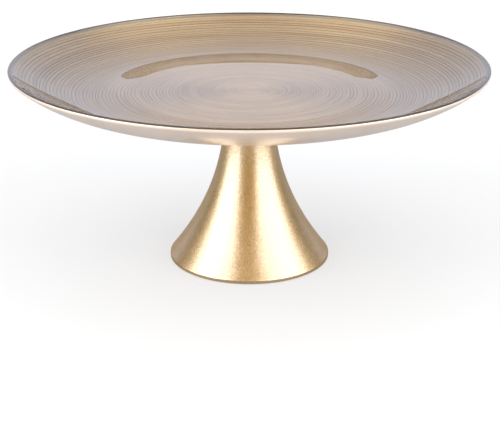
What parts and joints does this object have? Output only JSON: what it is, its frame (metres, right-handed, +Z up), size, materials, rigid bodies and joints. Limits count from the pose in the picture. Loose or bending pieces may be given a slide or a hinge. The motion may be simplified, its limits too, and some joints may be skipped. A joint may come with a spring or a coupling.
{
  "type": "cake stand",
  "caption": "Footed cake stand: a shallow dished glass plate with a champagne-gold ringed underside, screwed onto a hollow flared satin-gold metal foot.",
  "frame": {"origin": "on the floor plane, on the axis of the stand, under the middle of the foot", "axes": "+Z up along the axis of the stand; +X and +Y are free, because the stand is turned about +Z, with the foot pads on the diagonals"},
  "size_m": [0.32, 0.32, 0.1405],
  "materials": {
    "coated_glass": "clear polished glass, mirror-gold lacquer with fine turned rings seen through it from above, pearl-champagne lacquer underneath",
    "clear_bond": "cured clear UV adhesive",
    "zinc_steel": "zinc plated steel, lightly turned",
    "raw_steel": "pressed steel, uncoated",
    "clear_silicone": "frosted clear silicone",
    "satin_gold": "satin gold lacquer over spun metal, fine leathery grain",
    "pad_rubber": "soft translucent elastomer"
  },
  "bodies": {
    "foot": {"pedestal_shell": "satin_gold", "neck_disc": "raw_steel", "weld_nut": "raw_steel", "foot_pad_1": "pad_rubber", "foot_pad_2": "pad_rubber", "foot_pad_3": "pad_rubber", "foot_pad_4": "pad_rubber"},
    "ring": {"gasket_ring": "clear_silicone"},
    "plate": {"glass_plate": "coated_glass", "adhesive_disc": "clear_bond", "mounting_flange": "zinc_steel", "threaded_stud": "zinc_steel"}
  },
  "joints": [
    {"name": "plate_lift", "type": "slide", "parent": "foot", "child": "ring", "axis": [0, 0, 1], "range_m": [0, 0.0076]},
    {"name": "plate_unscrew", "type": "hinge", "parent": "ring", "child": "plate", "pos_m": [0, 0, 0.1], "axis": [0, 0, 1], "range_deg": [0, 1800]}
  ],
  "couplings": [
    {"joint": "plate_lift", "follows": "plate_unscrew", "m_per_rad": 0.00023873}
  ]
}
